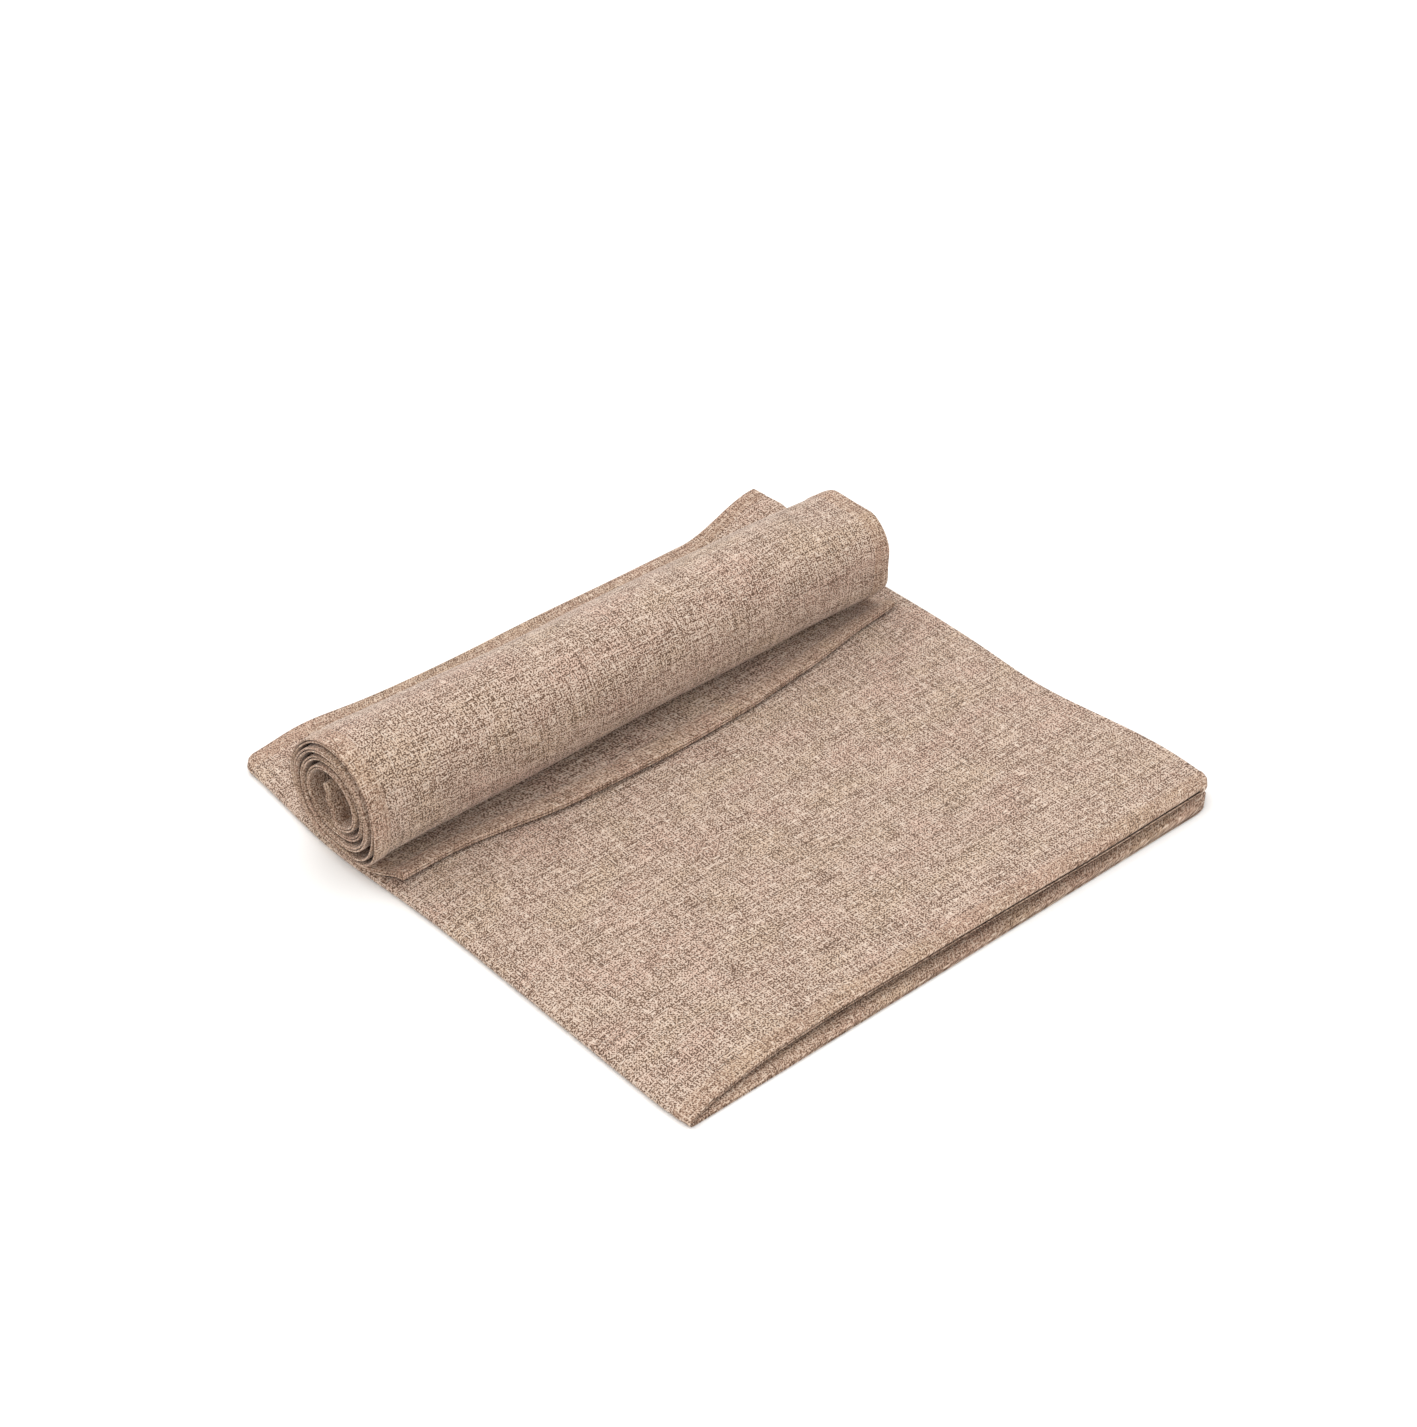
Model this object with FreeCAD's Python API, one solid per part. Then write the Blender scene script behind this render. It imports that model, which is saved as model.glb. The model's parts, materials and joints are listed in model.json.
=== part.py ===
import FreeCAD, Part
import math
import os

# Two equal table runners of woven linen, laid as one set, in millimetres.
# The first is folded in four: its two hemmed ends lie together on the +X side, and the double fold
# is on the -X side. The second is folded in half, rolled up from that fold, and laid on the first,
# with its two hemmed ends lying out in front of the roll as a loose end.
# X runs along the folded length, Y across the cloth from front (-Y) to back, and Z is up.
# The origin is the middle of the set, on the surface that it lies on.

# the cloth and its hems
cloth_width = 400.0
cloth_thickness = 0.6
hem_thickness = 1.2
hem_width = 12.0
thread_width = 0.6
thread_height = 0.15
thread_inset = 2.0

# the folded runner
folded_length = 410.0
layer_pitch = 1.4
leaf_gap = 0.4
second_layer_rise = 3.6
return_fold_height = 4.4
front_setback = 8.0
fold_seam_angle = 130.0

# the rolled runner
roll_length = 395.0
roll_overhang = 10.0
roll_height = 74.0
roll_flat = 4.0
roll_pitch = 4.6
roll_turns = 4
roll_centre_depth = 287.6
ply_gap = 0.1
tongue_height = 25.0
core_fold_radius = 2.0
rest_clearance = 0.35

# its loose end
hinge_depth = 262.0
bend_room = 1.8
loose_end_depth = 15.0
loose_end_bow = 14.0

# worked out from the sizes above
front = -cloth_width / 2
back = cloth_width / 2
left = -(folded_length - roll_overhang) / 2
right = left + folded_length
layer_left = [
    hem_thickness / 2,
    hem_thickness / 2 + layer_pitch,
    hem_thickness / 2 + 2 * layer_pitch + leaf_gap,
    hem_thickness / 2 + 3 * layer_pitch + leaf_gap,
]
third_layer_rise = second_layer_rise + layer_left[2] - layer_left[1]
layer_right = [
    layer_left[0],
    second_layer_rise,
    third_layer_rise,
    third_layer_rise + return_fold_height,
]
fold_height = (layer_left[0] + layer_left[3]) / 2
outer_fold_radius = (layer_left[3] - layer_left[0]) / 2
inner_fold_radius = (layer_left[2] - layer_left[1]) / 2
fold_x = left + outer_fold_radius + cloth_thickness / 2
return_fold_radius = return_fold_height / 2
return_fold_x = right - return_fold_radius - cloth_thickness / 2
top_slope = (layer_right[3] - layer_left[3]) / (right - fold_x)
tilt = math.atan(top_slope)

pair_thickness = 2 * cloth_thickness + ply_gap
rim_thickness = 2 * hem_thickness + 2 * ply_gap
roll_base = rim_thickness / 2
roll_y = front + roll_centre_depth
hinge_y = front + hinge_depth
roll_lean = (roll_height + rim_thickness) * math.sin(tilt)
roll_left = left - roll_overhang + roll_lean
roll_right = roll_left + roll_length


def vector(x, y, z):
    return FreeCAD.Vector(x, y, z)


def edge(start, end, bow):
    """A straight edge, or an arc whose middle is moved by bow along Y."""
    if bow == 0:
        return Part.LineSegment(start, end).toShape()
    middle = (start + end) * 0.5 + vector(0, bow, 0)
    return Part.Arc(start, middle, end).toShape()


def band(x0, x1, y0, y1, bow0=0.0, bow1=0.0):
    """A tall prism over a strip of the cloth, whose front and back edges may be bowed."""
    low = -10.0
    tall = 200.0
    corners = [vector(x0, y0, low), vector(x1, y0, low), vector(x1, y1, low), vector(x0, y1, low)]
    wire = Part.Wire([
        edge(corners[0], corners[1], bow0),
        edge(corners[1], corners[2], 0),
        edge(corners[2], corners[3], bow1),
        edge(corners[3], corners[0], 0),
    ])
    return Part.Face(wire).extrude(vector(0, 0, tall))


def height_at(layer, x):
    """The height of a layer's middle surface, which rises evenly from the double fold."""
    share = (x - fold_x) / (right - fold_x)
    return layer_left[layer] + share * (layer_right[layer] - layer_left[layer])


def slab(layer, x0, x1, low, high):
    """A sloping plate that follows a layer, from low to high beside its middle surface."""
    z0 = height_at(layer, x0)
    z1 = height_at(layer, x1)
    points = [
        vector(x0, front, z0 + low),
        vector(x1, front, z1 + low),
        vector(x1, front, z1 + high),
        vector(x0, front, z0 + high),
    ]
    face = Part.Face(Part.makePolygon(points + points[:1]))
    return face.extrude(vector(0, cloth_width, 0))


def ring(x, z, radius, start_angle, end_angle):
    """A fold: part of a thin tube that lies along Y."""
    outer = radius + cloth_thickness / 2
    inner = radius - cloth_thickness / 2

    def at(distance, angle):
        turn = math.radians(angle)
        return vector(x + distance * math.cos(turn), front, z + distance * math.sin(turn))

    middle = (start_angle + end_angle) / 2
    wire = Part.Wire([
        Part.Arc(at(outer, start_angle), at(outer, middle), at(outer, end_angle)).toShape(),
        Part.LineSegment(at(outer, end_angle), at(inner, end_angle)).toShape(),
        Part.Arc(at(inner, end_angle), at(inner, middle), at(inner, start_angle)).toShape(),
        Part.LineSegment(at(inner, start_angle), at(outer, start_angle)).toShape(),
    ])
    return Part.Face(wire).extrude(vector(0, cloth_width, 0))


def layer_pieces(layer, name):
    """One layer of the folded runner: its cloth, its side hems, its end hem and their thread."""
    upper = layer > 1
    bow = front_setback if upper else 0.0
    end = return_fold_x if upper else right
    cloth_end = end if upper else right - hem_width
    thin = cloth_thickness / 2
    thick = hem_thickness / 2
    pieces = {}
    cloth = slab(layer, fold_x, cloth_end, -thin, thin)
    pieces[name] = cloth.common(
        band(fold_x, cloth_end, front + hem_width, back - hem_width, bow, 0.0))
    hem = slab(layer, fold_x, end, -thick, thick)
    pieces[name + "_front_hem"] = hem.common(
        band(fold_x, end, front, front + hem_width, bow, bow))
    pieces[name + "_back_hem"] = hem.common(band(fold_x, end, back - hem_width, back))
    rows = []
    thread = slab(layer, fold_x, end, thick, thick + thread_height)
    row_front = front + hem_width - thread_inset
    rows.append(thread.common(
        band(fold_x + hem_width, end - hem_width, row_front, row_front + thread_width, bow, bow)))
    row_back = back - hem_width + thread_inset
    rows.append(thread.common(
        band(fold_x + hem_width, end - hem_width, row_back - thread_width, row_back)))
    if not upper:
        end_hem = slab(layer, cloth_end, right, -thick, thick)
        pieces[name + "_end_hem"] = end_hem.common(
            band(cloth_end, right, front + hem_width, back - hem_width))
        row_end = cloth_end + thread_inset
        rows.append(thread.common(
            band(row_end - thread_width, row_end, front + hem_width, back - hem_width)))
    pieces[name + "_stitching"] = Part.makeCompound(rows)
    return pieces


def fold_pieces():
    """The two folds that lie one inside the other at -X, and the fold that returns at +X."""
    pieces = {}
    pieces["outer_fold"] = ring(fold_x, fold_height, outer_fold_radius, 270, fold_seam_angle)
    pieces["inner_fold"] = ring(fold_x, fold_height, inner_fold_radius, 270, fold_seam_angle)
    return_z = (height_at(2, return_fold_x) + height_at(3, return_fold_x)) / 2
    return_radius = (height_at(3, return_fold_x) - height_at(2, return_fold_x)) / 2
    pieces["return_fold"] = ring(return_fold_x, return_z, return_radius, -90, 90)
    return pieces


def seat(shape):
    """Moves a piece of the rolled runner from its own level frame onto the sloping top layer."""
    top = height_at(3, fold_x) + hem_thickness / 2 + thread_height + rest_clearance
    placed = shape.copy()
    placed.rotate(vector(fold_x, 0, 0), vector(0, 1, 0), -math.degrees(tilt))
    placed.translate(vector(0, 0, top))
    return placed


def turn_path(turn, offset):
    """One turn of the roll, seen from its end, moved outwards from its middle line by offset."""
    half_flat = roll_flat / 2
    low = roll_base + turn * roll_pitch
    high = roll_base + roll_height - turn * roll_pitch
    next_low = low + roll_pitch
    start = hinge_y + bend_room if turn == 0 else roll_y - half_flat
    up_radius = (high - low) / 2
    down_radius = (high - next_low) / 2
    back_y = roll_y + half_flat
    front_y = roll_y - half_flat
    points = [
        vector(0, start, low - offset),
        vector(0, back_y, low - offset),
        vector(0, back_y + up_radius + offset, low + up_radius),
        vector(0, back_y, high + offset),
        vector(0, front_y, high + offset),
        vector(0, front_y - down_radius - offset, next_low + down_radius),
        vector(0, front_y, next_low - offset),
    ]
    edges = [
        Part.LineSegment(points[0], points[1]).toShape(),
        Part.Arc(points[1], points[2], points[3]).toShape(),
        Part.LineSegment(points[3], points[4]).toShape(),
        Part.Arc(points[4], points[5], points[6]).toShape(),
    ]
    return edges, points[0], points[6]


def turn_shell(turn, thickness, x0, x1):
    """The doubled cloth of one turn, between two places along the roll."""
    outer, outer_start, outer_end = turn_path(turn, thickness / 2)
    inner, inner_start, inner_end = turn_path(turn, -thickness / 2)
    wire = Part.Wire(
        outer
        + [Part.LineSegment(outer_end, inner_end).toShape()]
        + inner[::-1]
        + [Part.LineSegment(inner_start, outer_start).toShape()])
    shell = Part.Face(wire).extrude(vector(x1 - x0, 0, 0))
    shell.translate(vector(x0, 0, 0))
    return seat(shell)


def roll_pieces():
    """The turns of the roll, with the raised rims that the side hems make at its two ends."""
    pieces = {}
    for turn in range(roll_turns):
        name = "roll_turn_" + str(turn + 1)
        inner_left = roll_left + hem_width
        inner_right = roll_right - hem_width
        pieces[name] = turn_shell(turn, pair_thickness, inner_left, inner_right)
        pieces[name + "_left_hem"] = turn_shell(turn, rim_thickness, roll_left, inner_left)
        pieces[name + "_right_hem"] = turn_shell(turn, rim_thickness, inner_right, roll_right)
    return pieces


def core_pieces():
    """The start of the roll: the doubled cloth stands up in the hollow, and ends in its fold."""
    low = roll_base + roll_turns * roll_pitch
    start = roll_y - roll_flat / 2
    tongue_y = roll_y + roll_flat / 2
    foot = Part.makeBox(
        roll_length, tongue_y - start, pair_thickness,
        vector(roll_left, start, low - pair_thickness / 2))
    wall = Part.makeBox(
        roll_length, pair_thickness, tongue_height,
        vector(roll_left, tongue_y - pair_thickness, low + pair_thickness / 2))
    axis_z = low + pair_thickness / 2 + tongue_height + core_fold_radius
    centre = vector(roll_left, tongue_y - pair_thickness / 2, axis_z)
    tube = Part.makeCylinder(core_fold_radius, roll_length, centre, vector(1, 0, 0))
    hollow = Part.makeCylinder(
        core_fold_radius - cloth_thickness, roll_length, centre, vector(1, 0, 0))
    return {"roll_core_tongue": seat(foot.fuse(wall).removeSplitter()),
            "roll_core_fold": seat(tube.cut(hollow))}


def flat_plate(low, high):
    """A level plate in the rolled runner's own frame, as long as the roll."""
    return Part.makeBox(roll_length, cloth_width, high - low, vector(roll_left, front, low))


def loose_end_pieces():
    """The two plies that lie out in front of the roll, with their end hems and thread."""
    edge_y = hinge_y - loose_end_depth
    hem_back = edge_y + hem_width
    cloth_back = hinge_y - 0.2
    bow = -loose_end_bow
    ply_step = (hem_thickness + ply_gap) / 2
    pieces = {}
    for name, middle in (("lower", roll_base - ply_step), ("upper", roll_base + ply_step)):
        cloth = flat_plate(middle - cloth_thickness / 2, middle + cloth_thickness / 2)
        hem = flat_plate(middle - hem_thickness / 2, middle + hem_thickness / 2)
        pieces["loose_end_" + name + "_ply"] = seat(
            cloth.common(band(roll_left, roll_right, hem_back, cloth_back, bow, 0.0)))
        pieces["loose_end_" + name + "_hem"] = seat(
            hem.common(band(roll_left, roll_right, edge_y, hem_back, bow, bow)))
    top = roll_base + ply_step + hem_thickness / 2
    row = hem_back - thread_inset
    thread = flat_plate(top, top + thread_height).common(
        band(roll_left + hem_width, roll_right - hem_width, row, row + thread_width, bow, bow))
    pieces["loose_end_stitching"] = seat(thread)
    return pieces


def build():
    pieces = {}
    for layer, name in enumerate(["bottom_layer", "second_layer", "third_layer", "top_layer"]):
        pieces.update(layer_pieces(layer, name))
    pieces.update(fold_pieces())
    pieces.update(roll_pieces())
    pieces.update(core_pieces())
    pieces.update(loose_end_pieces())
    return pieces


os.makedirs("parts", exist_ok=True)
for node, shape in build().items():
    shape.exportStep("parts/" + node + ".step")
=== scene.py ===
import bpy
import bmesh
import json
import math
import numpy as np
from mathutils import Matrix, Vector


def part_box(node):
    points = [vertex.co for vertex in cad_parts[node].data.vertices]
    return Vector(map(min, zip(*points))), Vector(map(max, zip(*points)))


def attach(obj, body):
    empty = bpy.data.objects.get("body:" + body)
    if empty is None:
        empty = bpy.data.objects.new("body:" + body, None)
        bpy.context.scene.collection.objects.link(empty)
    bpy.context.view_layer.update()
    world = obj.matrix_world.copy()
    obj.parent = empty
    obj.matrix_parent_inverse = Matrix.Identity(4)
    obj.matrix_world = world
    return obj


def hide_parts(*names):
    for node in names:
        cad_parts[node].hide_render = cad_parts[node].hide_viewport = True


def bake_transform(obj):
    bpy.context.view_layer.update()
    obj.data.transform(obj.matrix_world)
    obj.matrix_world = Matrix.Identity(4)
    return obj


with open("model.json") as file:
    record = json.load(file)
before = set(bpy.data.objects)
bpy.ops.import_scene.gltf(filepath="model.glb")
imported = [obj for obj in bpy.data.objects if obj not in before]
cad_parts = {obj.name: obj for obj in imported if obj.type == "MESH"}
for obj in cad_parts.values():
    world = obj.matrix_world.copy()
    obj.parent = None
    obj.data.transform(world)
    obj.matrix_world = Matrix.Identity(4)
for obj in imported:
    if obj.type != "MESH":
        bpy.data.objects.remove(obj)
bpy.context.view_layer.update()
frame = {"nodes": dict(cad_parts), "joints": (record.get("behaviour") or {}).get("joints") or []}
print("frame loaded with", len(frame["nodes"]), "nodes")

# Two equal linen runners. The first is folded in four, and the second is folded in half, rolled up
# and laid on it. Shapes are worked out in millimetres and become metres when the mesh is made.
mm = 0.001


def edgeOf(node, side, axis):
    # where one face of a frame node's box lies, in millimetres
    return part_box(node)[side][axis] / mm


leftFold = edgeOf("outer_fold", 0, 0)
rightEnd = edgeOf("bottom_layer_end_hem", 1, 0)
frontEdge = edgeOf("bottom_layer_front_hem", 0, 1)
backEdge = edgeOf("bottom_layer_back_hem", 1, 1)
clothWidth = backEdge - frontEdge
leafLength = rightEnd - leftFold
joints = {joint["name"]: joint for joint in frame["joints"]}


def ease(value, start, end):
    # 0 before start, 1 after end, and a smooth S between them
    t = np.clip((value - start) / (end - start), 0, 1)
    return t * t * (3 - 2 * t)


def hump(value, middle, reach):
    # a bell: 1 at the middle, about a third at one reach from it
    return np.exp(-((value - middle) / reach) ** 2)


def overBy(value, limit, softness):
    # how far a value is over a limit, with a soft start
    return softness * np.log1p(np.exp((value - limit) / softness))


def roundOver(distance, radius):
    # the height of a quarter circle: 0 at an edge, 1 from one radius inwards
    q = np.clip(distance / radius, 0, 1)
    return np.sqrt(1 - (1 - q) ** 2)


def through(knots, values, at):
    # cubic arcs through given values, each with the slope between its two neighbours
    knots = np.asarray(knots, float)
    values = np.asarray(values, float)
    slopes = np.gradient(values, knots)
    i = np.clip(np.searchsorted(knots, at, side="right") - 1, 0, len(knots) - 2)
    step = knots[i + 1] - knots[i]
    t = np.clip((at - knots[i]) / step, 0, 1)
    rise = t * t * (3 - 2 * t)
    leave = t * (1 - t) ** 2 * step * slopes[i]
    arrive = t * t * (t - 1) * step * slopes[i + 1]
    return values[i] * (1 - rise) + values[i + 1] * rise + leave + arrive


def unit(vectors):
    return vectors / np.maximum(np.linalg.norm(vectors, axis=-1, keepdims=True), 1e-9)


def makeObject(name, points, faces, uv, material, recalculate=False):
    mesh = bpy.data.meshes.new(name)
    mesh.from_pydata((points.reshape(-1, 3) * mm).tolist(), [], faces)
    layer = mesh.uv_layers.new(name="cloth")
    corner = np.empty(len(mesh.loops), np.int32)
    mesh.loops.foreach_get("vertex_index", corner)
    layer.data.foreach_set("uv", (uv.reshape(-1, 2) * mm)[corner].astype(np.float32).ravel())
    if recalculate:
        work = bmesh.new()
        work.from_mesh(mesh)
        bmesh.ops.recalc_face_normals(work, faces=work.faces)
        work.to_mesh(mesh)
        work.free()
    mesh.polygons.foreach_set("use_smooth", np.ones(len(mesh.polygons), bool))
    mesh.materials.append(material)
    mesh.update()
    made = bpy.data.objects.new(name, mesh)
    bpy.context.scene.collection.objects.link(made)
    return made


def sheetFaces(rows, columns):
    # the quads of an open grid
    index = np.arange(rows * columns).reshape(rows, columns)
    quads = np.stack([index[:-1, :-1], index[1:, :-1], index[1:, 1:], index[:-1, 1:]], axis=-1)
    return quads.reshape(-1, 4).tolist()


def tubeFaces(rows, around):
    # the quads of a tube of rings, and one face to close each end
    index = np.arange(rows * around).reshape(rows, around)
    beside = np.roll(index, -1, axis=1)
    quads = np.stack([index[:-1], beside[:-1], beside[1:], index[1:]], axis=-1).reshape(-1, 4)
    return quads.tolist() + [index[0, ::-1].tolist(), index[-1].tolist()]


def thicken(sheet, thickness):
    shell = sheet.modifiers.new("thickness", "SOLIDIFY")
    shell.thickness = thickness * mm
    shell.offset = 0


# colours and materials

def linear(hexColour):
    # an sRGB hex colour as linear red, green, blue and alpha
    parts = [int(hexColour[i:i + 2], 16) / 255 for i in (1, 3, 5)]
    return [p / 12.92 if p <= 0.04045 else ((p + 0.055) / 1.055) ** 2.4 for p in parts] + [1.0]


def addNode(tree, kind, settings, inputs):
    # one node: its settings by name, and its inputs as values or as another node's output
    made = tree.nodes.new(kind)
    for key, value in settings.items():
        setattr(made, key, value)
    for key, value in inputs.items():
        if isinstance(value, bpy.types.NodeSocket):
            tree.links.new(value, made.inputs[key])
        else:
            made.inputs[key].default_value = value
    return made


def newMaterial(name):
    material = bpy.data.materials.new(name)
    material.use_nodes = True
    material.node_tree.nodes.clear()
    return material, material.node_tree


linenLook = {
    "threadSpacing": 1.0,       # mm; real linen of this weight has about 0.7, drawn coarser to show
    "darkYarn": "#5a4435",
    "middleYarn": "#9a7d6a",
    "lightYarn": "#cdb7a6",
    "darkestTone": 0.1,
    "lightestTone": 0.95,
    "fleck": "#dcc9b8",
    "pinkPatch": "#a17e6f",
    "olivePatch": "#968168",
    # noise stretched to millimetres along and across the cloth, with its detail and its shift; the
    # first two are the tones of the warp and weft yarns, and the rest are added in turn
    "warpTone": (1.1, 26, 0.0, 17.3),
    "weftTone": (34, 1.1, 0.0, 3.1),
    "yarnAmount": 1.15,
    "grain": [((1.0, 0.9, 0.0, 41.7), 2.5), ((26, 2.2, 1.0, 29.9), 0.75), ((2.0, 20, 1.0, 88.2), 0.55)],
    "weaveAmount": 0.2,
    "patches": (52, 30, 1.0, 5.9),
    "patchAmount": 0.25,
    # pale slubs along and across, and specks: their noise, where they start and end in it, and amount
    "flecks": [((7, 0.95, 0.0, 60.1), 0.7, 0.84, 0.8), ((0.95, 6, 0.0, 73.9), 0.7, 0.84, 0.8),
               ((1.6, 1.3, 0.0, 12.7), 0.7, 0.86, 0.6)],
    "bumpDepth": 0.25,
    "roughness": 0.92,
    "sheen": 0.15,
}


def wovenLinen(name, contrast, shade):
    # Undyed flax in a plain weave, soft and matt. Every yarn keeps its own tone for a few centimetres,
    # and shows at every second crossing, so the cloth is flecked at thread scale and streaked both
    # ways. Pale slubs run mostly one way, and broad patches lean a little to pink or olive.
    material, tree = newMaterial(name)
    spacing = linenLook["threadSpacing"] * mm
    place = addNode(tree, "ShaderNodeUVMap", {"uv_map": "cloth"}, {}).outputs["UV"]

    def streaks(along, across, detail, shift):
        # noise stretched to along x across millimetres
        spread = addNode(tree, "ShaderNodeMapping", {"vector_type": "POINT"}, {
            "Vector": place,
            "Location": (shift, shift * 0.7, 0),
            "Scale": (1 / (along * mm), 1 / (across * mm), 1)})
        return addNode(tree, "ShaderNodeTexNoise", {"noise_dimensions": "2D"}, {
            "Vector": spread.outputs["Vector"], "Scale": 1.0, "Detail": detail,
            "Roughness": 0.6}).outputs[0]

    def compute(operation, first, second=0.0, third=0.0):
        return addNode(tree, "ShaderNodeMath", {"operation": operation}, {
            0: first, 1: second, 2: third}).outputs[0]

    def above(value, low, high, most=1.0):
        return addNode(tree, "ShaderNodeMapRange", {"interpolation_type": "SMOOTHSTEP"}, {
            "Value": value, "From Min": low, "From Max": high, "To Max": most}).outputs["Result"]

    def addTone(tone, noise, amount):
        # adds or takes away up to half the amount
        return compute("MULTIPLY_ADD", noise, amount * contrast,
                       compute("ADD", tone, -0.5 * amount * contrast))

    axes = addNode(tree, "ShaderNodeSeparateXYZ", {}, {"Vector": place})
    warp = compute("SINE", compute("MULTIPLY", axes.outputs["X"], math.pi / spacing))
    weft = compute("SINE", compute("MULTIPLY", axes.outputs["Y"], math.pi / spacing))
    weave = compute("MULTIPLY", warp, weft)
    longOnTop = above(weave, -0.35, 0.35)
    yarns = addNode(tree, "ShaderNodeMix", {"data_type": "FLOAT"}, {
        0: longOnTop, 2: streaks(*linenLook["warpTone"]), 3: streaks(*linenLook["weftTone"])}).outputs[0]
    tone = addTone(0.5, yarns, linenLook["yarnAmount"])
    for noise, amount in linenLook["grain"]:
        tone = addTone(tone, streaks(*noise), amount)
    tone = compute("MULTIPLY_ADD", weave, linenLook["weaveAmount"] * contrast, tone)
    ramp = addNode(tree, "ShaderNodeValToRGB", {}, {"Fac": tone})
    ramp.color_ramp.elements[0].position = linenLook["darkestTone"]
    ramp.color_ramp.elements[0].color = linear(linenLook["darkYarn"])
    ramp.color_ramp.elements[1].position = linenLook["lightestTone"]
    ramp.color_ramp.elements[1].color = linear(linenLook["lightYarn"])
    ramp.color_ramp.elements.new(0.5).color = linear(linenLook["middleYarn"])
    patches = streaks(*linenLook["patches"])
    colour = ramp.outputs["Color"]
    most = linenLook["patchAmount"]
    for amount, patch in ((above(patches, 0.5, 0.72, most), "pinkPatch"),
                          (above(patches, 0.5, 0.3, most), "olivePatch")):
        colour = addNode(tree, "ShaderNodeMix", {"data_type": "RGBA", "blend_type": "COLOR"}, {
            "Factor": amount, 6: colour, 7: linear(linenLook[patch])}).outputs[2]
    slubs, crossSlubs, specks = (above(streaks(*noise), low, high, amount)
                                 for noise, low, high, amount in linenLook["flecks"])
    flecks = compute("MAXIMUM", compute("MAXIMUM", slubs, crossSlubs), specks)
    colour = addNode(tree, "ShaderNodeMix", {"data_type": "RGBA"}, {
        "Factor": flecks, 6: colour, 7: linear(linenLook["fleck"])}).outputs[2]
    colour = addNode(tree, "ShaderNodeMix", {"data_type": "RGBA", "blend_type": "MULTIPLY"}, {
        "Factor": 1.0, 6: colour, 7: linear(shade)}).outputs[2]
    height = compute("MULTIPLY_ADD", weave, 0.5, compute("MULTIPLY", tone, 0.6))
    bump = addNode(tree, "ShaderNodeBump", {}, {
        "Strength": 0.5, "Distance": linenLook["bumpDepth"] * mm,
        "Height": compute("ADD", height, flecks)})
    shader = addNode(tree, "ShaderNodeBsdfPrincipled", {}, {
        "Base Color": colour, "Normal": bump.outputs["Normal"], "Roughness": linenLook["roughness"],
        "Specular IOR Level": 0.2, "Sheen Weight": linenLook["sheen"], "Sheen Roughness": 0.5})
    addNode(tree, "ShaderNodeOutputMaterial", {}, {"Surface": shader.outputs["BSDF"]})
    return material


clothLinen = wovenLinen("wovenLinen", 1.0, "#ffffff")
hemLinen = wovenLinen("pressedHemLinen", 0.6, "#fdfaf6")


threadLook = {
    "shadow": "#a58a78",
    "light": "#cdb5a2",
    "twistScale": 2500.0,
    "bumpDepth": 0.1,
    "roughness": 0.65,
}


def sewingThread():
    # Spun polyester thread, dyed to match, with a fine twist and a little more shine than the linen.
    material, tree = newMaterial("sewingThread")
    place = addNode(tree, "ShaderNodeTexCoord", {}, {}).outputs["Object"]
    twist = addNode(tree, "ShaderNodeTexNoise", {}, {
        "Vector": place, "Scale": threadLook["twistScale"], "Detail": 1.0})
    ramp = addNode(tree, "ShaderNodeValToRGB", {}, {"Fac": twist.outputs[0]})
    ramp.color_ramp.elements[0].position = 0.3
    ramp.color_ramp.elements[0].color = linear(threadLook["shadow"])
    ramp.color_ramp.elements[1].position = 0.7
    ramp.color_ramp.elements[1].color = linear(threadLook["light"])
    bump = addNode(tree, "ShaderNodeBump", {}, {
        "Strength": 0.3, "Distance": threadLook["bumpDepth"] * mm,
        "Height": twist.outputs[0]})
    shader = addNode(tree, "ShaderNodeBsdfPrincipled", {}, {
        "Base Color": ramp.outputs["Color"], "Normal": bump.outputs["Normal"],
        "Roughness": threadLook["roughness"]})
    addNode(tree, "ShaderNodeOutputMaterial", {}, {"Surface": shader.outputs["BSDF"]})
    return material


threadFinish = sewingThread()
print("materials made")


# hems and stitches, for any cloth that is a function of its path and of the place across it

hem = {
    "width": 12.0,
    "pointsAround": 20,
    "sideSquareness": 0.35,  # powers of the circle: 1 is round, 0 is square
    "faceSquareness": 0.7,
    "stitchInset": 2.0,      # from the hem's inner edge to the row of stitches
    "stitchPitch": 3.2,
    "stitchLength": 2.5,
    "stitchRadius": 0.22,
    "stitchRings": [(-0.5, 0.3), (-0.36, 1.0), (0.36, 1.0), (0.5, 0.3)],   # place and radius, as shares
    "stitchSides": 6,
    "stitchSink": 0.16,      # the thread pulls this far into the hem
}


def framedAt(surface, path, across):
    # the points of the cloth, its direction along the path, and its normal, by small steps each way
    points = surface(path, across)
    along = surface(path, across, 0.1) - surface(path, across, -0.1)
    side = surface(path, across + 0.1) - surface(path, across - 0.1)
    return points, unit(along), unit(np.cross(along, side))


def hemSection(thickness):
    # a rounded flat section: places from one side, 0, to the other, 1, and heights over its middle
    angle = np.linspace(0, 2 * math.pi, hem["pointsAround"], endpoint=False)
    squared = np.sign(np.cos(angle)) * np.abs(np.cos(angle)) ** hem["sideSquareness"]
    lift = np.sign(np.sin(angle)) * np.abs(np.sin(angle)) ** hem["faceSquareness"] * thickness / 2
    return 0.5 - 0.5 * squared, lift


def sideHem(surface, path, lengths, near, far, thickness):
    # the section, near to far across the cloth, carried along the whole path
    place, lift = hemSection(thickness)
    across = near + (far - near) * place
    points, _, normal = framedAt(surface, path, across)
    points = points + normal * lift[None, :, None]
    uv = np.stack(np.broadcast_arrays(lengths[:, None], across[None, :]), axis=-1)
    return points, uv


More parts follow.
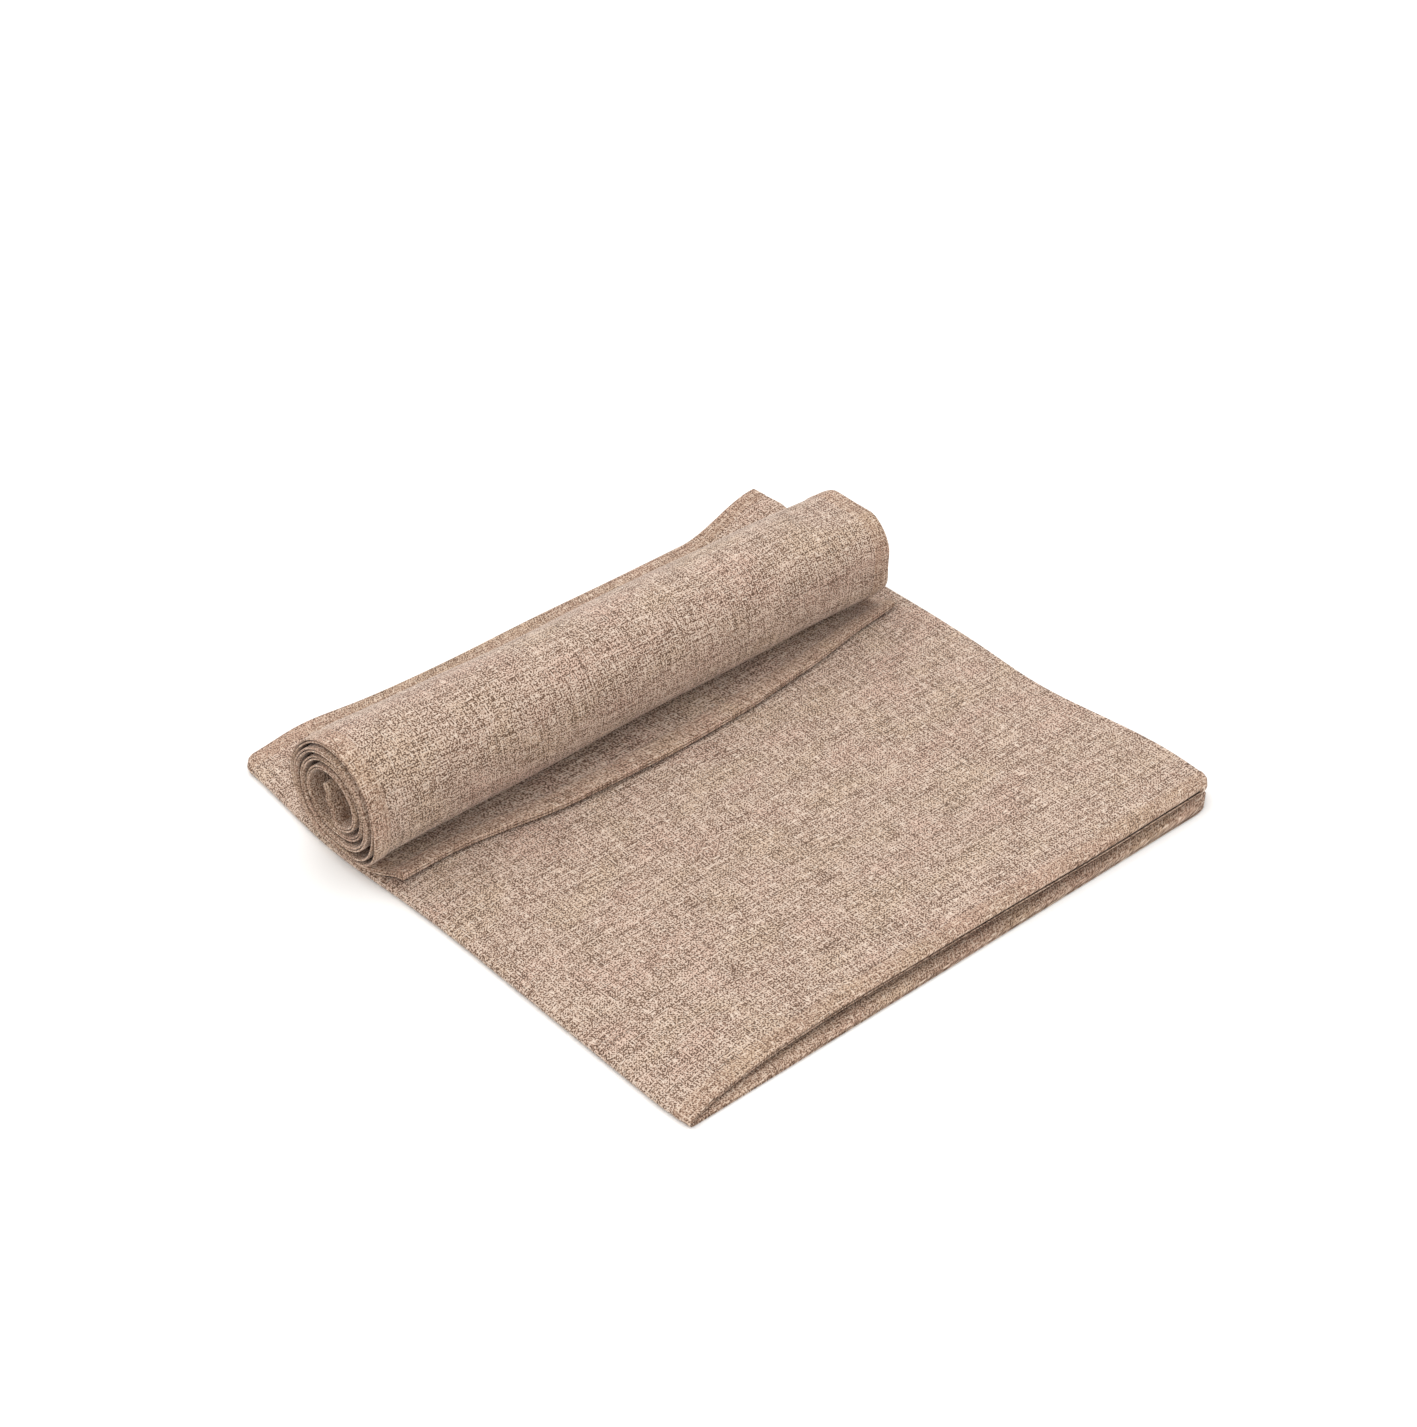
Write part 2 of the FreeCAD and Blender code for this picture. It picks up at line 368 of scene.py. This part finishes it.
def stitchRows(name, rows):
    # each row is (centres, directions, normals); a stitch is a short closed tube with rounded ends
    centres, along, normal = (np.concatenate(part) for part in zip(*rows))
    side = unit(np.cross(normal, along))
    reach = np.array([ring[0] for ring in hem["stitchRings"]]) * hem["stitchLength"]
    radius = np.array([ring[1] for ring in hem["stitchRings"]]) * hem["stitchRadius"]
    angle = np.linspace(0, 2 * math.pi, hem["stitchSides"], endpoint=False)
    points = (
        centres[:, None, None]
        + along[:, None, None] * reach[None, :, None, None]
        + side[:, None, None] * (radius[:, None] * np.cos(angle))[None, :, :, None]
        + normal[:, None, None] * (radius[:, None] * np.sin(angle))[None, :, :, None])
    one = tubeFaces(len(reach), len(angle))
    corners = len(reach) * len(angle)
    faces = [[corner + corners * k for corner in face] for k in range(len(centres)) for face in one]
    return makeObject(name, points, faces, points[..., :2], threadFinish, recalculate=True)


# the folded runner

foldedRunner = {
    "clothThickness": 0.6,
    "hemThickness": 1.2,
    "endHemThickness": 1.3,
    "plyStep": 1.37,          # between the middles of two plies whose hems lie together
    "bottomHeight": 0.68,
    "seamHeight": 3.05,       # the plane between the two leaves, at the double fold
    "seamRise": 4.4,          # and how much it rises to the other side
    "seamGap": 1.12,          # from that plane to the plies next to it
    "topHeight": 5.4,
    "riseUnderRoll": 4.7,
    "riseInFront": 4.6,
    "edgeClose": 5.5,         # how far in from an edge two plies come together
    "endClose": 5.0,          # the same at the two hemmed ends
    "mouth": 30.0,            # how much further in the lower leaf stays flat along its front edge
    "frontLift": 2.2,         # the upper leaf's front edge is lifted at the middle
    "lowerForward": 3.2,      # and the lower leaf comes out further in front, towards the right
    "frontDroop": 1.0,
    "setback": 9.5,           # the upper leaf's front edge lies this far back,
    "setbackAt": 0.25,        # at this share of its length
    "swing": 1.9,             # and it swings forward by this much at the right
    "backBow": 4.5,           # its back edge bows out near the double fold
    "secondBehind": 0.6,      # the second ply's end lies this far behind the bottom ply's
    "lowerCorner": 2.5,       # and the lower leaf's front right corner draws in
    "cornerRadius": 11.0,
    "cornerLift": 17.2,       # the back right corner stands up behind the roll
    "cornerSwell": 1.6,       # and the back left one swells a little
    # how the two sides bow out or in: amount, middle and reach across the cloth
    "leftBows": [(-5.5, 98, 60), (2.2, frontEdge, 12), (1.2, backEdge, 40)],
    "rightBows": [(-7, -70, 60), (-3.5, frontEdge, 30), (-2, backEdge, 25)],
    # the free cloth ripples a little: amount, turns along and across, and start
    "ripples": [(0.24, 13, 7, 0), (0.16, 21, -17, 1.3), (0.12, 9, 29, 4)],
    "rollCovers": (0.5, 0.58, 0.82, 0.95),   # shares of the width where the roll presses
    "stepsAlong": 92,
    "stepsAcross": 84,
    "endHemSteps": 90,
}
outerRadius = (foldedRunner["topHeight"] - foldedRunner["bottomHeight"]) / 2


def cornerCut(distance):
    # how far a rounded corner draws an edge in, at a distance along the other edge
    radius = foldedRunner["cornerRadius"]
    return radius * (1 - roundOver(distance, radius))


def bowed(place, bows):
    return sum(amount * hump(place, middle, reach) for amount, middle, reach in bows)


def leftEdgeAt(y):
    # the double fold bows out a little under the end of the roll, and both its corners draw in
    return leftFold + 0.2 + bowed(y, foldedRunner["leftBows"]) + cornerCut(backEdge + 0.5 - y)


def rightEdgeAt(y):
    # the other side is slightly hollow, with a rounded front corner
    return rightEnd + 1 + bowed(y, foldedRunner["rightBows"]) - 1.3 * cornerCut(y - frontEdge)


def upperLeafHeights(share, y):
    # heights of the top ply and of the ply under it: both rise to the right, pressed flat by the roll
    look = foldedRunner
    back = (y - frontEdge) / clothWidth
    covered = look["rollCovers"]
    free = 1 - ease(back, *covered[:2]) * (1 - ease(back, *covered[2:]))
    wave = sum(amount * np.sin(share * along + back * across + start)
               for amount, along, across, start in look["ripples"])
    # the front edge lifts at the middle, the right back corner stands up, and the left one swells
    corner = (look["frontLift"] * np.sin(math.pi * np.clip(share, 0, 1)) * (1 - ease(back, 0.03, 0.35))
              + look["cornerLift"] * ease(share, 0.84, 1.0) * ease(back, 0.83, 0.94)
              + look["cornerSwell"] * hump(share, 0.13, 0.12) * ease(back, 0.86, 1.0))
    rise = look["riseUnderRoll"] + look["riseInFront"] * (1 - ease(back, 0.05, 0.55))
    ends = roundOver(y - frontEdge, look["edgeClose"]) * roundOver(backEdge - y, look["edgeClose"])
    top = look["topHeight"] + rise * share + corner + free * wave * ease(share, 0, 0.2)
    top = top - look["frontDroop"] * share * (1 - roundOver(y - frontEdge, look["edgeClose"]))
    closed = top - look["plyStep"]
    opened = look["seamHeight"] + look["seamRise"] * share + look["seamGap"] + corner
    return top, closed + (opened - closed) * ends


def secondPlyHeight(share, y):
    # lies on the bottom ply at its edges and swells between them
    look = foldedRunner
    closed = look["bottomHeight"] + look["plyStep"]
    opened = look["seamHeight"] + look["seamRise"] * share - look["seamGap"]
    mouth = look["edgeClose"] + look["mouth"] * (1 - ease(share, 0.66, 0.95))
    fromEnd = (1.004 - share) * leafLength
    inside = (roundOver(y - frontEdge, mouth) * roundOver(backEdge - y, look["edgeClose"])
              * roundOver(fromEnd, look["endClose"]))
    return closed + np.maximum(opened - closed, 0) * inside


def foldedPath():
    # From the bottom ply's end to the double fold, along the top ply, round the return fold, back
    # along the third ply, round the inner fold, and out along the second ply.
    straight = np.linspace(0, 1, foldedRunner["stepsAlong"])
    turn = np.linspace(0, math.pi, 15)[1:-1]
    legs = [(0, 0, straight[::-1], 0), (0, 3, 0, turn), (3, 3, straight, 0), (3, 2, 1, turn),
            (2, 2, straight[::-1], 0), (2, 1, 0, turn), (1, 1, straight, 0)]
    rows = [np.stack(np.broadcast_arrays(*map(np.asarray, leg)), axis=-1).astype(float)
            for leg in legs]
    return np.concatenate(rows)


def foldedAt(path, across, nudge=0.0):
    # A path row is (ply, next ply, share of the leaf's length, angle round the fold between them).
    # On a ply the angle is 0. On a fold the point goes round half a circle from one ply to the next.
    look = foldedRunner
    first = path[:, 0].astype(int)[:, None]
    second = path[:, 1].astype(int)[:, None]
    onFold = first != second
    step = nudge * np.where(np.isin(first, (0, 2)), -1, 1)
    share = path[:, 2][:, None] + np.where(onFold, 0, step / leafLength)
    angle = path[:, 3][:, None] + np.where(onFold, nudge, 0)
    y = frontEdge + np.asarray(across, float)[None, :]
    # heights of the ply and of the next one, and a half circle between them on a fold
    top, third = upperLeafHeights(share, y)
    heights = np.stack(np.broadcast_arrays(look["bottomHeight"], secondPlyHeight(share, y), third, top))
    z0 = np.take_along_axis(heights, np.broadcast_to(first, top.shape)[None], 0)[0]
    z1 = np.take_along_axis(heights, np.broadcast_to(second, top.shape)[None], 0)[0]
    radius = np.abs(z1 - z0) / 2
    z = (z0 + z1) / 2 + np.cos(angle) * (z0 - z1) / 2
    reach = np.where(share > 0.5, 1, -1) * np.sin(angle) * radius
    # each ply runs from the line of the double fold to its own right end
    topEnd, thirdEnd = upperLeafHeights(1.0, y)
    foldLine = leftEdgeAt(y) + outerRadius + look["clothThickness"] / 2
    upper = first + second > 3
    lowerEnd = (look["secondBehind"] * (first == 1) + look["lowerCorner"] * hump(y, frontEdge, 40)
                + 0.4 * cornerCut(y - frontEdge))
    endLine = rightEdgeAt(y) - np.where(upper, (topEnd - thirdEnd) / 2, lowerEnd)
    x = foldLine + share * (endLine - foldLine) + np.where(onFold, reach, 0)
    # across the cloth, the upper leaf is set back in front and the lower leaf comes forward
    upperShare = np.where(first > 1, 0.5 + 0.5 * np.cos(angle), 0.5 - 0.5 * np.cos(angle))
    upperShare = np.where(onFold, np.where(upper & (first + second == 5), 1, upperShare), first > 1)
    back = (y - frontEdge) / clothWidth
    early = share / look["setbackAt"]
    shift = look["setback"] * early * np.exp(1 - early) - look["swing"] * share
    shift = shift - look["frontLift"] * np.sin(math.pi * np.clip(share, 0, 1))
    backShift = look["backBow"] * hump(share * leafLength, 36, 30)
    forward = look["lowerForward"] * share * (1 - upperShare)
    y = y + upperShare * (shift * (1 - back) + backShift * back) - forward * (1 - back)
    return np.stack(np.broadcast_arrays(x, y, z), axis=-1)


def alongLengths(points):
    # distance along the middle line of a grid, from its first row
    middle = points[:, points.shape[1] // 2]
    return np.concatenate([[0], np.cumsum(np.linalg.norm(np.diff(middle, axis=0), axis=1))])


def acrossSteps(width, count, inset):
    # even steps, closer together near the two edges
    t = np.linspace(-1, 1, count)
    return width / 2 + (width / 2 - inset) * (0.8 * t + 0.2 * t ** 5)


def buildFoldedRunner():
    look = foldedRunner
    path = foldedPath()
    across = acrossSteps(clothWidth, look["stepsAcross"], 1.5)
    points = foldedAt(path, across)
    lengths = alongLengths(points)
    uv = np.stack(np.broadcast_arrays(lengths[:, None], across[None, :]), axis=-1)
    cloth = makeObject("folded_runner_cloth", points, sheetFaces(*points.shape[:2]), uv, clothLinen)
    thicken(cloth, look["clothThickness"])
    pieces = {"cloth": cloth}
    for name, near, far in (("front", 0, hem["width"]), ("back", clothWidth, clothWidth - hem["width"])):
        ribbon, ribbonUv = sideHem(foldedAt, path, lengths, near, far, look["hemThickness"])
        pieces[name] = makeObject(
            "folded_runner_" + name + "_hem", ribbon, tubeFaces(*ribbon.shape[:2]), ribbonUv,
            hemLinen, recalculate=True)
    return pieces, lengths[-1]


foldedPieces, foldedFlat = buildFoldedRunner()
print("folded runner made, flat length", round(foldedFlat), "mm")


def endHem(name, surface, path, across, thickness):
    # the section along the cloth's cut end: path rows go from the edge to the hem's inner side
    place, lift = hemSection(thickness)
    points, _, normal = framedAt(surface, path(place * hem["width"]), across)
    points = (points + normal * lift[:, None, None]).transpose(1, 0, 2)
    uv = np.stack(np.broadcast_arrays(place[None, :] * hem["width"], across[:, None]), axis=-1)
    return makeObject(name, points, tubeFaces(*points.shape[:2]), uv, hemLinen, recalculate=True)


def plyEnd(ply):
    # path rows at a distance in from the right end of the bottom or second ply
    def rows(distance):
        share = 1 - distance / leafLength
        return np.stack(np.broadcast_arrays(float(ply), float(ply), share, 0.0), axis=-1)
    return rows


def rowOnSide(surface, path, across, lift):
    # stitches along the path at one place across the cloth
    points, along, normal = framedAt(surface, path, np.array([across]))
    return points[:, 0] + normal[:, 0] * lift, along[:, 0], normal[:, 0]


def rowOnEnd(surface, path, across, lift):
    # stitches across the cloth at one place on the path
    points, _, normal = framedAt(surface, path, across)
    return points[0] + normal[0] * lift, unit(np.gradient(points[0], axis=0)), normal[0]


def finishFoldedRunner():
    look = foldedRunner
    across = np.linspace(1.2, clothWidth - 1.2, look["endHemSteps"])
    for ply, name in ((0, "bottom"), (1, "second")):
        foldedPieces[name] = endHem("folded_runner_" + name + "_end_hem", foldedAt, plyEnd(ply), across,
                                    look["endHemThickness"])
    inner = hem["width"] - hem["stitchInset"]
    count = int(leafLength / hem["stitchPitch"])
    share = (np.arange(count) + 0.5) / count
    share = share[(share > 0.012) & (share < 0.985)]
    rows = []
    for ply in range(4):
        path = np.stack(np.broadcast_arrays(float(ply), float(ply), share, 0.0), axis=-1)
        for place in (inner, clothWidth - inner):
            for face in (-1, 1):
                lift = look["hemThickness"] / 2 - hem["stitchSink"]
                rows.append(rowOnSide(foldedAt, path, place, face * lift))
    spots = np.arange(hem["width"] + 2, clothWidth - hem["width"] - 2, hem["stitchPitch"])
    for ply in (0, 1):
        for face in (-1, 1):
            rows.append(rowOnEnd(foldedAt, plyEnd(ply)(np.array([inner])), spots,
                                 face * (look["endHemThickness"] / 2 - hem["stitchSink"])))
    foldedPieces["stitching"] = stitchRows("folded_runner_stitching", rows)


finishFoldedRunner()
print("folded runner hemmed and stitched")


# the rolled runner

hingeY = joints["loose_end_lift"]["pos_m"][1] / mm
rolledRunner = {
    "clothThickness": 0.6,
    "hemThickness": 1.4,
    "endHemThickness": 1.7,
    "left": edgeOf("roll_turn_1_left_hem", 0, 0) + 0.4,
    "length": 398.5,
    "plyHalfGap": 0.83,
    "centreFromHinge": 26.0,
    "centreHeight": 46.5,
    # distance from the centre to the middle of the doubled wall, every eighth of a turn from the
    # bottom, round by the back, for each of the four turns
    "turnRadii": [
        [36, 38.5, 40.5, 38, 39.5, 39.8, 37.2, 38],
        [31.4, 34.2, 35.2, 33.2, 33.2, 33.2, 31.6, 29.6],
        [26.3, 29.2, 30, 28, 26.9, 26.7, 25.8, 23.6],
        [21.4, 24, 24.8, 22.4, 20.4, 20.1, 19.8, 17.6],
    ],
    # the loose end in front, as distances behind its edge and heights over the cloth it lies on
    "looseEnd": [(0, 3.7), (5, 3.5), (10, 2.9), (14, 2.2), (20, 2.1), (26, 2.1), (33, 2.9)],
    # the start of the winding: the doubled cloth stands up in the hollow (from the centre, in mm)
    "core": [(-7, -14.8), (-2.5, -15.6), (0.8, -11.5), (0.6, -5.5), (4.4, -0.5), (3.6, 5), (5.5, 10)],
    "coreGap": [0.83, 0.83, 1.0, 1.2, 1.3, 1.3, 1.2],
    "frontEdgePlaces": [-10, 30, 100, 165, 240, 300, 360, 394],
    "frontEdge": [43.5, 45.5, 35, 32, 34, 40, 50, 53],
    "flapShear": 13.5,         # the loose end lies this far along the roll, at its left end
    "flapShearLoss": 5.5,      # and less so to the right
    "flapGap": 0.08,
    # height of the roll against its left end, at shares of its length
    "heightPlaces": [0, 0.12, 0.28, 0.5, 0.75, 1],
    "heightScale": [1.02, 0.965, 0.94, 0.93, 0.91, 0.89],
    "narrowing": 0.03,         # the right end is narrower by this share
    "setBack": 3.0,            # and lies this much further back
    "rightReach": 1.3,         # and further out
    "parting": 1.15,           # the outer turn's plies part at the left end,
    "partAngle": 302,          # at this angle round the winding
    "outerEndAngle": 330,      # the outer turn gives way to the next one here
    "drawnIn": 1.2,            # the rims at the left end lean back
    "lowInset": 2.1,           # and their lowest part stays clear of the double fold
    "pressedTop": 0.88,        # the right end is pressed flat on top, as a share of its radius
    "pressedFront": 0.95,      # and in front
    "pressedBack": 0.06,
    # the outer turn swells: amount, millimetres along the roll and round it per radian, and start
    "swells": [(0.35, 23, 31, 0), (0.3, 37, -17, 2)],
    # the loose end's edge curls up: amount, middle and reach along the roll
    "curls": [(1.2, 0, 16), (1.3, 398.5, 16), (0.5, 118, 22)],
    "stepsAlong": 400,
    "stepsAcross": 86,
    "hemSteps": 640,
    "endHemSteps": 110,
}


def rollProfile():
    # The middle line of the doubled wall at the left end: loose end, four turns, core. It is a spline
    # through the points, and is then read every millimetre.
    look = rolledRunner
    centreY = hingeY + look["centreFromHinge"]
    radii = np.array(look["turnRadii"]).ravel()
    knots = np.arange(len(radii)) * 360.0 / len(look["turnRadii"][0])
    angle = np.arange(0, knots[-1] + 1, 5.0)
    radius = through(knots, radii, angle)
    turn = np.radians(angle)
    leafTop = foldedRunner["topHeight"] + foldedRunner["clothThickness"] / 2
    loose = np.array(look["looseEnd"], float) + (look["frontEdge"][0], leafTop)
    wall = np.stack([centreY + radius * np.sin(turn), look["centreHeight"] - radius * np.cos(turn)], 1)
    core = np.array(look["core"], float) + (centreY, look["centreHeight"])
    line = np.concatenate([loose, wall, core])
    along = np.concatenate([[0], np.cumsum(np.linalg.norm(np.diff(line, axis=0), axis=1))])
    dense = np.arange(0, along[-1], 1.0)
    middle = np.stack([through(along, line[:, 0], dense), through(along, line[:, 1], dense)], 1)
    direction = unit(np.gradient(middle, axis=0))
    outward = np.stack([direction[:, 1], -direction[:, 0]], 1)
    coreAlong = along[-len(core):]
    gap = np.full(len(dense), look["plyHalfGap"])
    inCore = dense > coreAlong[0]
    gap[inCore] = through(coreAlong, look["coreGap"], dense[inCore])
    turnStart = along[len(loose)]
    return {"line": middle, "direction": direction, "outward": outward, "gap": gap,
            "length": dense[-1], "turnStart": turnStart,
            "partAt": float(np.interp(look["partAngle"], angle, along[len(loose):-len(core)])),
            "outerEnd": float(np.interp(look["outerEndAngle"], angle, along[len(loose):-len(core)]))}


profile = rollProfile()
coreRadius = profile["gap"][-1]
rolledTotal = 2 * profile["length"] + math.pi * coreRadius
print("roll profile made, doubled length", round(profile["length"]), "mm")


def rolledAt(path, across, nudge=0.0):
    # path is a distance along the cloth: in along the outer ply, round the core fold, and out along
    # the inner ply. across is the distance from the roll's left end.
    look = rolledRunner
    p = (np.asarray(path, float) + nudge)[:, None]
    a = np.asarray(across, float)[None, :]
    angle = np.clip((p - profile["length"]) / coreRadius, 0, math.pi)
    q = np.clip(np.minimum(p, rolledTotal - p), 0, profile["length"])
    spots = np.arange(len(profile["gap"]), dtype=float)
    lineY, lineZ = (np.interp(q, spots, profile["line"][:, k]) for k in (0, 1))
    alongY, alongZ = (np.interp(q, spots, profile["direction"][:, k]) for k in (0, 1))
    outY, outZ = (np.interp(q, spots, profile["outward"][:, k]) for k in (0, 1))
    share = a / look["length"]
    isWall = ease(q, 30, 60)
    parted = look["parting"] * hump(q, profile["partAt"], 20) * np.exp(-a / 70)
    gap = np.interp(q, spots, profile["gap"]) + parted + look["flapGap"] * (1 - ease(q, 10, 16))
    outer = 1 - ease(q, profile["outerEnd"] - 30, profile["outerEnd"] + 40)
    swell = sum(amount * np.sin(a / along + q / around + start)
                for amount, along, around, start in look["swells"])
    swell = swell * outer * ease(q, profile["turnStart"], profile["turnStart"] + 50)
    side = gap * np.cos(angle) + swell
    ahead = gap * np.sin(angle)
    y = lineY + outY * side + alongY * ahead
    z = lineZ + outZ * side + alongZ * ahead
    x = look["left"] + a + look["rightReach"] * ease(a, 0.85 * look["length"], look["length"])
    # the roll lies on the upper leaf, is lower and narrower to the right, and its flap widens
    leafShare = (x - leftFold) / leafLength
    leafTop = foldedRunner["clothThickness"] / 2 + foldedRunner["topHeight"]
    base = leafTop + foldedRunner["riseUnderRoll"] * np.clip(leafShare, 0, 1)
    tall = through(look["heightPlaces"], look["heightScale"], share)
    centreY = hingeY + look["centreFromHinge"]
    flapShift = through(look["frontEdgePlaces"], look["frontEdge"], x - leftFold) - look["frontEdge"][0]
    flapShift = flapShift * (1 - ease(q, 0, 30))
    wide = 1 - look["narrowing"] * share * isWall
    y = centreY + (y - centreY) * wide + look["setBack"] * share * isWall + flapShift
    drawnIn = hump(a, 0, 11) * isWall
    y = y - look["drawnIn"] * drawnIn
    z = base + (z - leafTop) * (1 + (tall - 1) * isWall) * (1 - 0.04 * drawnIn)
    low = hump(a, 0, 14) * (1 - ease(z - base, 3, 9)) * ease(q, 24, 42)
    x = x + look["lowInset"] * low
    sheared = (look["flapShear"] - look["flapShearLoss"] * share) * (1 - ease(q, 0, 40))
    # the right end is pressed from above and from the front
    centreZ = base + (look["centreHeight"] - leafTop) * tall
    reach = np.maximum(np.hypot(y - centreY, z - centreZ), 1e-6)
    pressed = ease(a, look["length"] - 70, look["length"] - 8) * isWall
    z = z - pressed * reach * overBy((z - centreZ) / reach, look["pressedTop"], 0.02)
    inFront = overBy((centreY - y) / reach, look["pressedFront"], 0.02)
    y = y + pressed * reach * (inFront - look["pressedBack"])
    curl = bowed(a, look["curls"]) + 0.25 * np.sin(a / 11) + 0.2 * np.sin(a / 23 + 1)
    z = z + curl * (1 - ease(q, 0, 17))
    # neither end is wound quite true
    drift = 0.9 * np.sin(q / 83) * (1 - share) + 0.7 * np.sin(q / 61 + 2) * share
    return np.stack(np.broadcast_arrays(x + drift + sheared, y, z), axis=-1)


def pathEnd(fromStart):
    # path distances at a distance in from either cut end
    def rows(distance):
        return distance if fromStart else rolledTotal - distance
    return rows


def buildRolledRunner():
    look = rolledRunner
    path = np.linspace(1.5, rolledTotal - 1.5, look["stepsAlong"])
    across = acrossSteps(look["length"], look["stepsAcross"], 1.5)
    points = rolledAt(path, across)
    uv = np.stack(np.broadcast_arrays(across[None, :], path[:, None]), axis=-1)
    cloth = makeObject("rolled_runner_cloth", points, sheetFaces(*points.shape[:2]), uv, clothLinen)
    thicken(cloth, look["clothThickness"])
    pieces = {"cloth": cloth}
    finePath = np.linspace(1.0, rolledTotal - 1.0, look["hemSteps"])
    width = look["length"]
    for name, near, far in (("left", 0, hem["width"]), ("right", width, width - hem["width"])):
        ribbon, ribbonUv = sideHem(rolledAt, finePath, finePath, near, far, look["hemThickness"])
        pieces[name] = makeObject(
            "rolled_runner_" + name + "_hem", ribbon, tubeFaces(*ribbon.shape[:2]),
            ribbonUv[..., ::-1], hemLinen, recalculate=True)
    across = np.linspace(0.6, width - 0.6, look["endHemSteps"])
    for name, start in (("lower", True), ("upper", False)):
        pieces[name] = endHem("rolled_runner_" + name + "_end_hem", rolledAt, pathEnd(start), across,
                              look["endHemThickness"])
    inner = hem["width"] - hem["stitchInset"]
    spots = np.arange(16, rolledTotal - 16, hem["stitchPitch"])
    spots = spots[np.abs(spots - rolledTotal / 2) > 3 * coreRadius]
    lift = look["hemThickness"] / 2
    rows = [rowOnSide(rolledAt, spots, place, face * lift)
            for place in (inner, width - inner) for face in (-1, 1)]
    pieces["stitching"] = stitchRows("rolled_runner_stitching", rows)
    spots = np.arange(hem["width"] + 2, width - hem["width"] - 2, hem["stitchPitch"])
    rows = [rowOnEnd(rolledAt, pathEnd(start)(np.array([inner])), spots,
                     face * look["endHemThickness"] / 2)
            for start in (True, False) for face in (-1, 1)]
    pieces["endStitching"] = stitchRows("rolled_runner_end_stitching", rows)
    return pieces


rolledPieces = buildRolledRunner()
print("rolled runner made, hemmed and stitched")


# how the pieces move and what they stand for


def joinFoldedRunner():
    # the leaves part at the plane between them, which turns about the double fold; here only the end
    # hems of the two lower plies go with the lower half, and the frame's plies, folds, hems and
    # stitching are hidden
    for key in ("cloth", "front", "back", "stitching"):
        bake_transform(foldedPieces[key])
    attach(foldedPieces["bottom"], "lower_half")
    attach(foldedPieces["second"], "lower_half")
    plies = ["bottom_layer", "second_layer", "third_layer", "top_layer"]
    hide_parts(*plies, "outer_fold", "inner_fold", "return_fold")
    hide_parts(*[ply + "_front_hem" for ply in plies])
    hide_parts(*[ply + "_back_hem" for ply in plies])
    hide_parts(*[ply + "_stitching" for ply in plies])
    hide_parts("bottom_layer_end_hem")
    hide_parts("second_layer_end_hem")


def joinRolledRunner():
    # The pieces are baked in place and put on no body, so the loose end is not given its bend; the
    # frame's roll turns, core, loose end, hems and stitching are hidden.
    for piece in rolledPieces.values():
        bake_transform(piece)
    turns = ["roll_turn_" + str(turn) for turn in (1, 2, 3, 4)]
    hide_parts(*turns, "roll_core_tongue", "roll_core_fold",
                "loose_end_lower_ply", "loose_end_upper_ply")
    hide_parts(*[turn + "_left_hem" for turn in turns])
    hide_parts(*[turn + "_right_hem" for turn in turns])
    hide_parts("loose_end_lower_hem")
    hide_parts("loose_end_upper_hem")
    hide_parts("loose_end_stitching")


joinFoldedRunner()
joinRolledRunner()
print("pieces joined to their bodies")


# floor, light and camera

studio = {
    "floorSize": 12000.0,
    "floorColour": "#f6f5f3",
    "skyStrength": 1.17,
    "lampPower": 28.0,
    "lampSize": 2.8,
    "lampPlace": (-0.2, 0.7, 2.45),
}


def makeFloor():
    # a seamless sheet of matt white studio paper
    half = studio["floorSize"] / 2
    side = np.linspace(-half, half, 3)
    x, y = np.meshgrid(side, side, indexing="ij")
    points = np.stack([x, y, np.zeros_like(x)], axis=-1)
    material, tree = newMaterial("studioPaper")
    shader = addNode(tree, "ShaderNodeBsdfPrincipled", {}, {
        "Base Color": linear(studio["floorColour"]), "Roughness": 0.9, "Specular IOR Level": 0.1})
    addNode(tree, "ShaderNodeOutputMaterial", {}, {"Surface": shader.outputs["BSDF"]})
    floor = makeObject("studio_floor", points, sheetFaces(3, 3), points[..., :2], material)


def makeLight():
    # an even white sky, and one large softbox above, behind and slightly to the left
    world = bpy.data.worlds.new("studioSky")
    world.use_nodes = True
    sky = world.node_tree.nodes["Background"]
    sky.inputs["Color"].default_value = (1, 1, 1, 1)
    sky.inputs["Strength"].default_value = studio["skyStrength"]
    bpy.context.scene.world = world
    lamp = bpy.data.lights.new("softbox", "AREA")
    lamp.shape = "SQUARE"
    lamp.size = studio["lampSize"]
    lamp.energy = studio["lampPower"]
    softbox = bpy.data.objects.new("softbox", lamp)
    spot = studio["lampPlace"]
    softbox.location = spot
    tilt = math.atan2(math.hypot(spot[0], spot[1]), spot[2])
    softbox.rotation_euler = (tilt, 0, math.atan2(spot[0], -spot[1]))
    bpy.context.scene.collection.objects.link(softbox)


view = {
    "place": (-0.8344, -0.9331, 0.9706),
    "turn": 41.5255,      # degrees from the back towards the right
    "tilt": 36.2407,      # degrees down
    "lens": 68.2,         # mm
    "sensorWidth": 36,
}


def makeCamera():
    lens = bpy.data.cameras.new("camera")
    lens.lens = view["lens"]
    lens.sensor_width = view["sensorWidth"]
    camera = bpy.data.objects.new("camera", lens)
    camera.location = view["place"]
    camera.rotation_euler = (math.radians(90 - view["tilt"]), 0, math.radians(-view["turn"]))
    bpy.context.scene.collection.objects.link(camera)
    bpy.context.scene.camera = camera


makeFloor()
makeLight()
makeCamera()
bpy.context.scene.view_settings.view_transform = "Standard"
print("studio ready")
